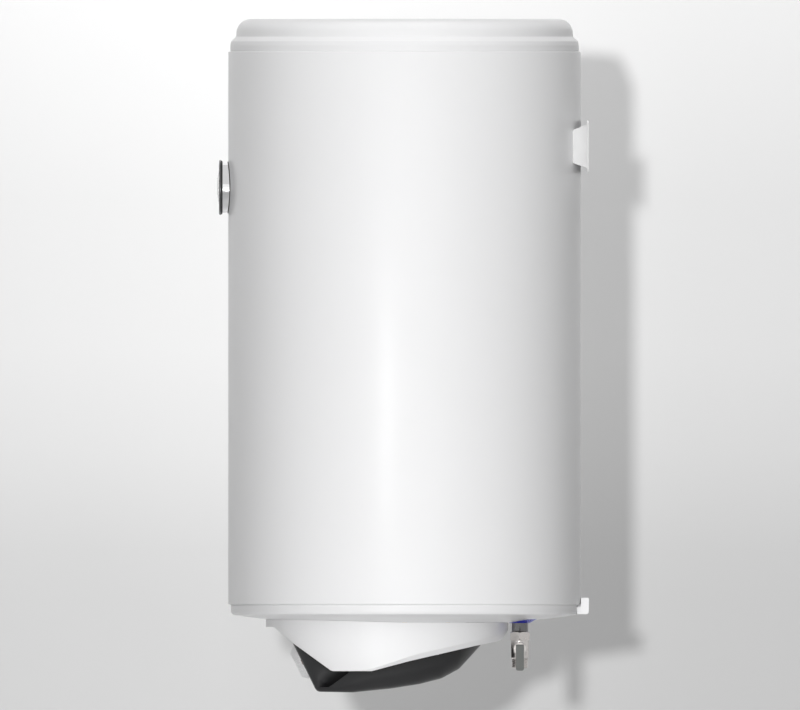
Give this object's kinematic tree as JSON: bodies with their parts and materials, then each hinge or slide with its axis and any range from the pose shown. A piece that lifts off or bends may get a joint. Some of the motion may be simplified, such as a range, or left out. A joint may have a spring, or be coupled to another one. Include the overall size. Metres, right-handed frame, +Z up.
{
  "type": "tank water heater",
  "caption": "Upright wall-hung electric tank water heater with lid and cap, service and control covers, knob, thermometer, wall bracket and safety valve.",
  "frame": {"origin": "midway between the two wall-bolt slots, on the wall face of the upper bracket", "axes": "+Z up along the tank, -Y out of the wall towards the room (the front with thermometer and knob), +X to the right seen from the front, the cold-water side"},
  "size_m": [0.4399, 0.4642, 0.8405],
  "materials": {
    "white_enamel": "white powder coat, gloss",
    "white_plastic": "moulded, satin gloss",
    "white_bracket": "white powder coat",
    "charcoal_plastic": "moulded charcoal, fine texture",
    "grey_plastic": "moulded",
    "dark_plastic": "moulded",
    "red_plastic": "moulded",
    "blue_plastic": "moulded",
    "knob_plastic": "moulded light grey, ribbed",
    "lens_plastic": "clear amber",
    "lamp_glass": "clear",
    "lead_sheath": "flexible sheath",
    "zinc_steel": "zinc plated",
    "spring_steel": "drawn wire",
    "element_sheath": "alloy sheath",
    "enamelled_steel": "vitreous enamel",
    "foam": "foamed in place, light",
    "magnesium": "extruded, dull",
    "brass_contact": "bright",
    "copper_tube": "drawn tube",
    "plated_pipe": "galvanised, threaded",
    "nickel_brass": "nickel plated",
    "lever_grey": "moulded grey",
    "chromed": "polished",
    "clear_glass": "clear",
    "dial_white": "printed",
    "needle_paint": "painted",
    "black_rubber": "moulded"
  },
  "bodies": {
    "heater": {"outer_shell": "white_enamel", "top_lid": "white_plastic", "bottom_cap": "white_plastic", "wall_bracket": "white_bracket", "lower_spacer": "white_plastic", "service_cover": "white_plastic", "control_cover": "charcoal_plastic", "service_cover_screws": "zinc_steel", "insulation_foam": "foam", "tank_shell": "enamelled_steel", "tank_top_dome": "enamelled_steel", "tank_bottom_dome": "enamelled_steel", "flange_collar": "enamelled_steel", "flange_gasket": "black_rubber", "flange_plate": "zinc_steel", "flange_bolts": "zinc_steel", "heating_element": "element_sheath", "element_terminals": "brass_contact", "anode_rod": "magnesium", "anode_nut": "zinc_steel", "sensor_pocket": "element_sheath", "electrics_bracket": "zinc_steel", "earth_stud": "brass_contact", "terminal_block": "grey_plastic", "terminal_screws": "brass_contact", "thermal_cutout": "dark_plastic", "thermostat_body": "dark_plastic", "thermostat_bulb": "copper_tube", "indicator_lens": "lens_plastic", "indicator_lamp": "lamp_glass", "internal_leads": "lead_sheath", "cable_gland": "dark_plastic", "cold_inlet_pipe": "plated_pipe", "hot_outlet_pipe": "plated_pipe", "inlet_diffuser": "grey_plastic", "cold_ring": "blue_plastic", "hot_ring": "red_plastic", "thermometer_housing": "chromed", "thermometer_bezel": "chromed", "thermometer_glass": "clear_glass", "thermometer_dial": "dial_white", "thermometer_stem": "zinc_steel", "safety_valve_body": "nickel_brass", "relief_bonnet": "nickel_brass", "check_guide": "grey_plastic", "check_spring": "spring_steel", "relief_spring": "spring_steel"},
    "knob": {"thermostat_knob": "knob_plastic", "thermostat_spindle": "zinc_steel"},
    "needle": {"thermometer_needle": "needle_paint", "thermometer_arbor": "brass_contact"},
    "relief": {"relief_spindle": "zinc_steel", "relief_seal": "black_rubber", "lever_pin": "zinc_steel"},
    "lever": {"safety_lever": "lever_grey"},
    "check": {"check_disc": "grey_plastic"},
    "button": {"reset_button": "red_plastic"}
  },
  "joints": [
    {"name": "knob_turn", "type": "hinge", "parent": "heater", "child": "knob", "pos_m": [0, -0.35775, -0.64361], "axis": [0, -0.897, -0.442], "range_deg": [0, 270]},
    {"name": "needle_turn", "type": "hinge", "parent": "heater", "child": "needle", "pos_m": [0, -0.456, -0.0512], "axis": [0, 1, 0], "range_deg": [0, 240]},
    {"name": "relief_lift", "type": "slide", "parent": "heater", "child": "relief", "axis": [1, 0, 0], "range_m": [0, 0.0026], "deforming": ["relief_spring"]},
    {"name": "lever_lift", "type": "hinge", "parent": "relief", "child": "lever", "pos_m": [0.0836, -0.086, -0.627], "axis": [0, -1, 0], "range_deg": [0, 85]},
    {"name": "check_lift", "type": "slide", "parent": "heater", "child": "check", "axis": [0, 0, 1], "range_m": [0, 0.004], "deforming": ["check_spring"]},
    {"name": "reset_press", "type": "slide", "parent": "heater", "child": "button", "axis": [0, 0, 1], "range_m": [0, 0.0015], "stiffness_N_per_m": 400}
  ],
  "couplings": [
    {"joint": "relief_lift", "follows": "lever_lift", "m_per_rad": 0.0017508}
  ]
}
